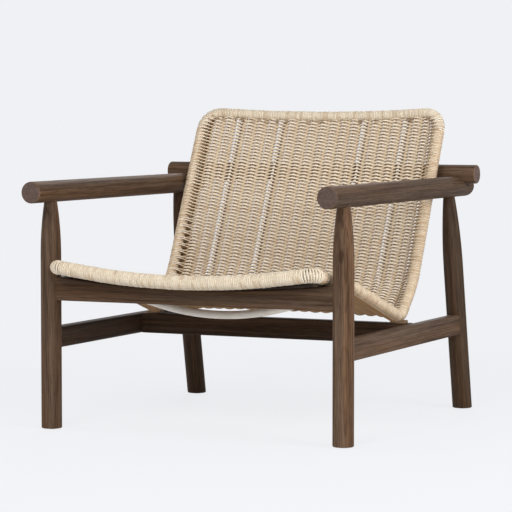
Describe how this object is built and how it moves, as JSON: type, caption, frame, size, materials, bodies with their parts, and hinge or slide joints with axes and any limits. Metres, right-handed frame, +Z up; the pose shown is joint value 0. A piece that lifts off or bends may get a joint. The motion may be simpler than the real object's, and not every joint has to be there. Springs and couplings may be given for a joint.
{
  "type": "lounge armchair",
  "caption": "Low lounge armchair with a round-section dark timber frame and a dished woven cord shell that forms seat and back.",
  "frame": {"origin": "on the floor, under the middle of the chair's bounding box", "axes": "+X to the right seen from the front, +Y to the rear, +Z up; the chair faces -Y"},
  "size_m": [0.808, 0.8421, 0.7152],
  "materials": {
    "walnut_wood": "dark oiled timber, matt, fine lengthwise grain",
    "natural_cord": "straw-coloured natural cord, plain woven and wrapped",
    "cream_steel": "cream powder coat, satin",
    "screw_steel": "zinc-plated screw steel",
    "glide_plastic": "dark moulded plastic"
  },
  "bodies": {
    "root": {"arm_left": "walnut_wood", "arm_right": "walnut_wood", "back_rail": "walnut_wood", "back_rail_screws": "screw_steel", "cross_stretcher": "walnut_wood", "front_rail": "walnut_wood", "glide_front_left": "glide_plastic", "glide_front_right": "glide_plastic", "glide_rear_left": "glide_plastic", "glide_rear_right": "glide_plastic", "leg_front_left": "walnut_wood", "leg_front_right": "walnut_wood", "leg_rear_left": "walnut_wood", "leg_rear_right": "walnut_wood", "rim_tube_front": "cream_steel", "rim_tube_left": "cream_steel", "rim_tube_right": "cream_steel", "rim_tube_top": "cream_steel", "rim_wrap_front": "natural_cord", "rim_wrap_left": "natural_cord", "rim_wrap_right": "natural_cord", "rim_wrap_top": "natural_cord", "shell_rod_1": "cream_steel", "shell_rod_2": "cream_steel", "shell_rod_3": "cream_steel", "shell_rod_4": "cream_steel", "shell_saddle_left": "cream_steel", "shell_saddle_right": "cream_steel", "shell_screws": "screw_steel", "shell_spreader": "cream_steel", "side_stretcher_left": "walnut_wood", "side_stretcher_right": "walnut_wood", "woven_panel": "natural_cord"}
  },
  "joints": []
}
